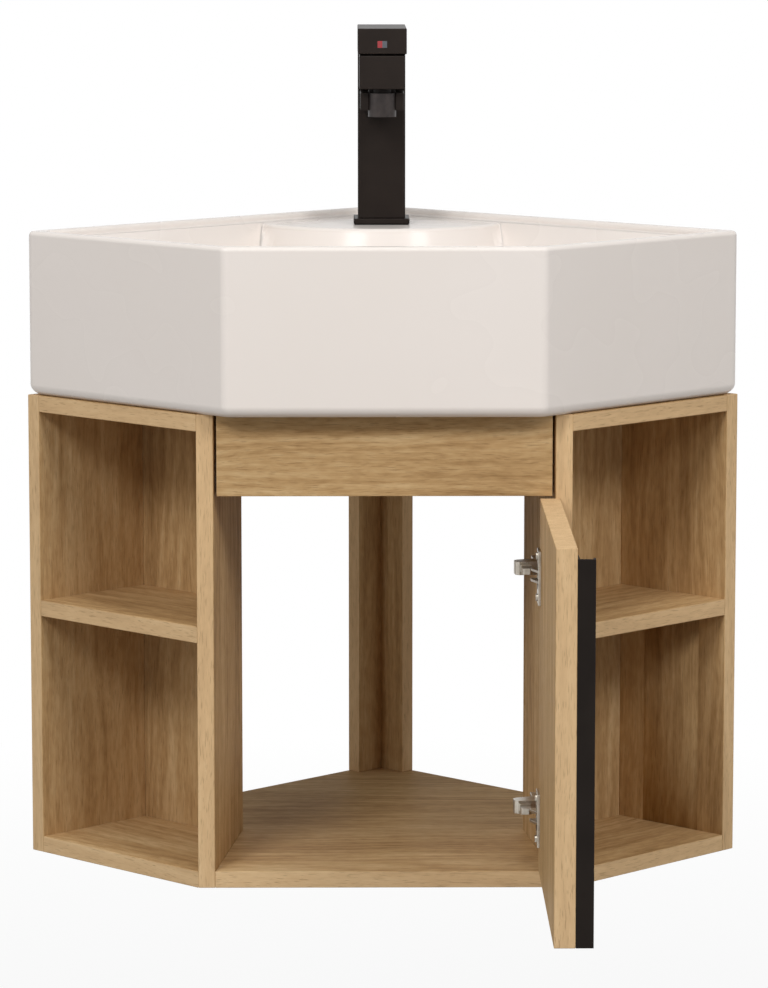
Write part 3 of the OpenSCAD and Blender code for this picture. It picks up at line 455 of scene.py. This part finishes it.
bmesh.ops.bevel(basin, geom=rim, offset=RIM_ROUND, offset_type="OFFSET", affect="EDGES",
                segments=RIM_STEPS, profile=0.5, material=-1, clamp_overlap=False)
basin = piece_of("glazed_basin", basin)
for face in basin.data.polygons:
    face.use_smooth = True
basin.modifiers.new("even_shading", "WEIGHTED_NORMAL").keep_sharp = True
glaze = Finish("white_glaze", Specular_IOR_Level=0.22, Coat_Weight=0.08, Coat_Roughness=0.08)
wash = glaze.noise(glaze.here, scale=6.0, detail=3.0)
glaze.feed("Base Color", glaze.mix(wash, GLAZE_WARM, GLAZE_PALE))
smears = glaze.noise(glaze.here, scale=14.0, detail=1.0)
glaze.feed("Roughness", smears * SMEAR_SHARE + GLAZE_ROUGHNESS)
glaze.relief(glaze.noise(glaze.here, scale=10.0, detail=0.0), GLAZE_WAVES)
fit_piece(basin, glaze, "cabinet", "basin")


# ---- Joining fittings ------------------------------------------------------------------------
# Beech dowels, and zinc-plated cam bolts, cam discs, angle brackets and screws that draw the
# boards together. Most of them are hidden inside the boards.
DOWEL_PALE, DOWEL_DARK = shade(222, 196, 152), shade(196, 165, 118)
ZINC_PALE, ZINC_DARK = shade(196, 197, 198), shade(158, 160, 163)
PRESSING_EASE, SHORTEST_PRESSED_EDGE = 0.0003, 0.006
MARKS_PER_METRE, MARK_SPREAD = (900.0, 900.0, 160.0), 0.14
RAYS_PER_METRE, RAY_DEPTH = (500.0, 500.0, 120.0), 0.00005


def brushed(name, pale, dark, roughness, metallic=1.0, depth=0.00002):
    """Plated or turned metal: small clouds in the tone, fine marks in the gloss."""
    finish = Finish(name, Metallic=metallic)
    clouds = finish.noise(finish.here, scale=120.0, detail=3.0).clear_of(0.3, 0.7)
    marks = finish.noise(finish.stretch(finish.here, MARKS_PER_METRE), detail=2.0)
    finish.feed("Base Color", finish.mix(clouds, dark, pale))
    finish.feed("Roughness", marks * MARK_SPREAD + (roughness - MARK_SPREAD / 2))
    finish.relief(marks, depth)
    return finish


beech = Finish("bare_beech", Roughness=0.6)
rays = beech.noise(beech.stretch(beech.here, RAYS_PER_METRE), detail=3.0)
beech.feed("Base Color", beech.mix(rays, DOWEL_PALE, DOWEL_DARK))
beech.relief(rays, RAY_DEPTH)
zinc = brushed("zinc_plate", ZINC_PALE, ZINC_DARK, roughness=0.38)


def finish_as_cast(finish, *nodes):
    """Leaves a CAD node in its own shape and gives it its finish."""
    for node in nodes:
        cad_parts[node].data.materials.clear()
        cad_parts[node].data.materials.append(finish.material)


finish_as_cast(beech, "dowels")
finish_as_cast(zinc, "cam_bolts", "cam_discs", "bracket_screws", "pull_screws", "tap_stud",
               "lever_pin", "lever_carrier")
for node in ("apron_brackets", "clamp_washer"):
    pressing = eased_mesh("pressed_" + node, node, PRESSING_EASE, SHORTEST_PRESSED_EDGE)
    fit_piece(pressing, zinc, "cabinet", node)


# ---- Hinges ----------------------------------------------------------------------------------
# Two concealed hinges of nickel-plated steel: a cup pressed into the door, a mounting plate
# screwed to the right partition and an arm that is clipped on the plate.
HINGE_EASE, SHORTEST_HINGE_EDGE = 0.0004, 0.004
NICKEL_PALE, NICKEL_DARK = shade(206, 200, 189), shade(170, 163, 151)
nickel = brushed("nickel_plate", NICKEL_PALE, NICKEL_DARK, roughness=0.30)
for level in ("upper", "lower"):
    for part, body in (("cup", "door"), ("arm", "cabinet"), ("plate", "cabinet")):
        node = level + "_hinge_" + part
        plated = eased_mesh("nickel_" + node, node, HINGE_EASE, SHORTEST_HINGE_EDGE)
        fit_piece(plated, nickel, body, node)
finish_as_cast(nickel, "cup_screws", "plate_screws")


# ---- Door pull -------------------------------------------------------------------------------
# A black powder-coated channel of bent steel along the door's free edge, screwed on from behind
# the grip.
PULL_EASE = 0.0006
COAT_BLACK, COAT_WORN = shade(30, 25, 22), shade(42, 36, 32)
CLOUD_WEAR, PEBBLE_WEAR, PEBBLE_SPREAD, PEBBLE_DEPTH = 0.6, 0.2, 0.12, 0.00004


def powder_coat(name, colour, worn, roughness, gloss=0.08):
    """Matt powder coat: a fine pebbled skin with a little difference in tone."""
    finish = Finish(name, Specular_IOR_Level=gloss)
    pebbles = finish.noise(finish.here, scale=1400.0, detail=2.0)
    clouds = finish.noise(finish.here, scale=22.0, detail=3.0).clear_of(0.35, 0.75)
    wear = clouds * CLOUD_WEAR + pebbles * PEBBLE_WEAR
    finish.feed("Base Color", finish.mix(wear, colour, worn))
    finish.feed("Roughness", pebbles * PEBBLE_SPREAD + (roughness - PEBBLE_SPREAD / 2))
    finish.relief(pebbles, PEBBLE_DEPTH)
    return finish


black_coat = powder_coat("black_powder_coat", COAT_BLACK, COAT_WORN, roughness=0.5)
coated_pull = eased_mesh("coated_pull", "door_pull", PULL_EASE)
fit_piece(coated_pull, black_coat, "door", "door_pull")


# ---- Waste -----------------------------------------------------------------------------------
# A chromed brass outlet with a push plug: flange and tail in one, clamped through the basin by
# a nut over two rubber rings. The plug stands a little proud, as it does when it lets water out.
WASTE_EASE, SHORTEST_WASTE_EDGE = 0.0006, 0.003
CHROME_PALE, CHROME_DARK = shade(212, 213, 215), shade(202, 204, 207)
RUBBER_PALE, RUBBER_DARK = shade(38, 38, 38), shade(24, 24, 24)
chrome = brushed("polished_chrome", CHROME_PALE, CHROME_DARK, roughness=0.12, depth=0.000004)
rubber = powder_coat("black_rubber", RUBBER_DARK, RUBBER_PALE, roughness=0.75)
finish_as_cast(chrome, "waste_nut", "waste_plug")
finish_as_cast(rubber, "waste_seal", "waste_gasket", "tap_gasket")
chromed_waste = eased_mesh("chromed_waste", "waste_body", WASTE_EASE, SHORTEST_WASTE_EDGE)
fit_piece(chromed_waste, chrome, "cabinet", "waste_body")


# ---- Tap -------------------------------------------------------------------------------------
# A square brass casting with a black-brown coat: base plate, column with its spout, and a
# hollow lever on top that turns and lifts. Hot and cold are two small glossy chips.
TAP_EASE = 0.0008
TAP_DARK, TAP_WORN = shade(34, 28, 25), shade(46, 39, 35)
tap_coat = powder_coat("tap_coat", TAP_DARK, TAP_WORN, roughness=0.38, gloss=0.1)
for node, body in (("tap_base_plate", "cabinet"), ("tap_body", "cabinet"), ("tap_lever", "lever")):
    fit_piece(eased_mesh("coated_" + node, node, TAP_EASE), tap_coat, body, node)

MARKS = {"hot_mark": shade(168, 34, 42), "cold_mark": shade(82, 88, 96)}
DEEPER, MARK_ROUGHNESS, MARK_CLOUDS = 0.7, 0.15, 0.1
for node, colour in MARKS.items():
    chip = Finish("enamel_of_" + node, Coat_Weight=0.5)
    cloud = chip.noise(chip.here, scale=900.0, detail=2.0)
    deep = tuple(DEEPER * part for part in colour[:3]) + (1,)
    chip.feed("Base Color", chip.mix(cloud, colour, deep))
    chip.feed("Roughness", cloud * MARK_CLOUDS + MARK_ROUGHNESS)
    finish_as_cast(chip, node)

AERATOR_PALE, AERATOR_DARK = shade(60, 53, 51), shade(42, 37, 36)
aerator_plate = brushed("aerator_plate", AERATOR_PALE, AERATOR_DARK, roughness=0.42, metallic=0.6)
finish_as_cast(aerator_plate, "aerator_sleeve")

MOULDED_PALE, MOULDED_DARK = shade(226, 225, 220), shade(208, 206, 200)
MOULDED_ROUGHNESS, GRAIN_SHARE, GRAIN_DEPTH = 0.4, 0.2, 0.00003
moulded = Finish("moulded_plastic", Specular_IOR_Level=0.4)
grain = moulded.noise(moulded.here, scale=700.0, detail=2.0)
moulded.feed("Base Color", moulded.mix(grain, MOULDED_PALE, MOULDED_DARK))
moulded.feed("Roughness", grain * GRAIN_SHARE + MOULDED_ROUGHNESS)
moulded.relief(grain, GRAIN_DEPTH)
finish_as_cast(moulded, "cartridge", "aerator_insert")

BRASS_PALE, BRASS_DARK = shade(200, 168, 96), shade(170, 138, 72)
brass = brushed("turned_brass", BRASS_PALE, BRASS_DARK, roughness=0.32)
finish_as_cast(brass, "cartridge_nut", "clamp_nut")
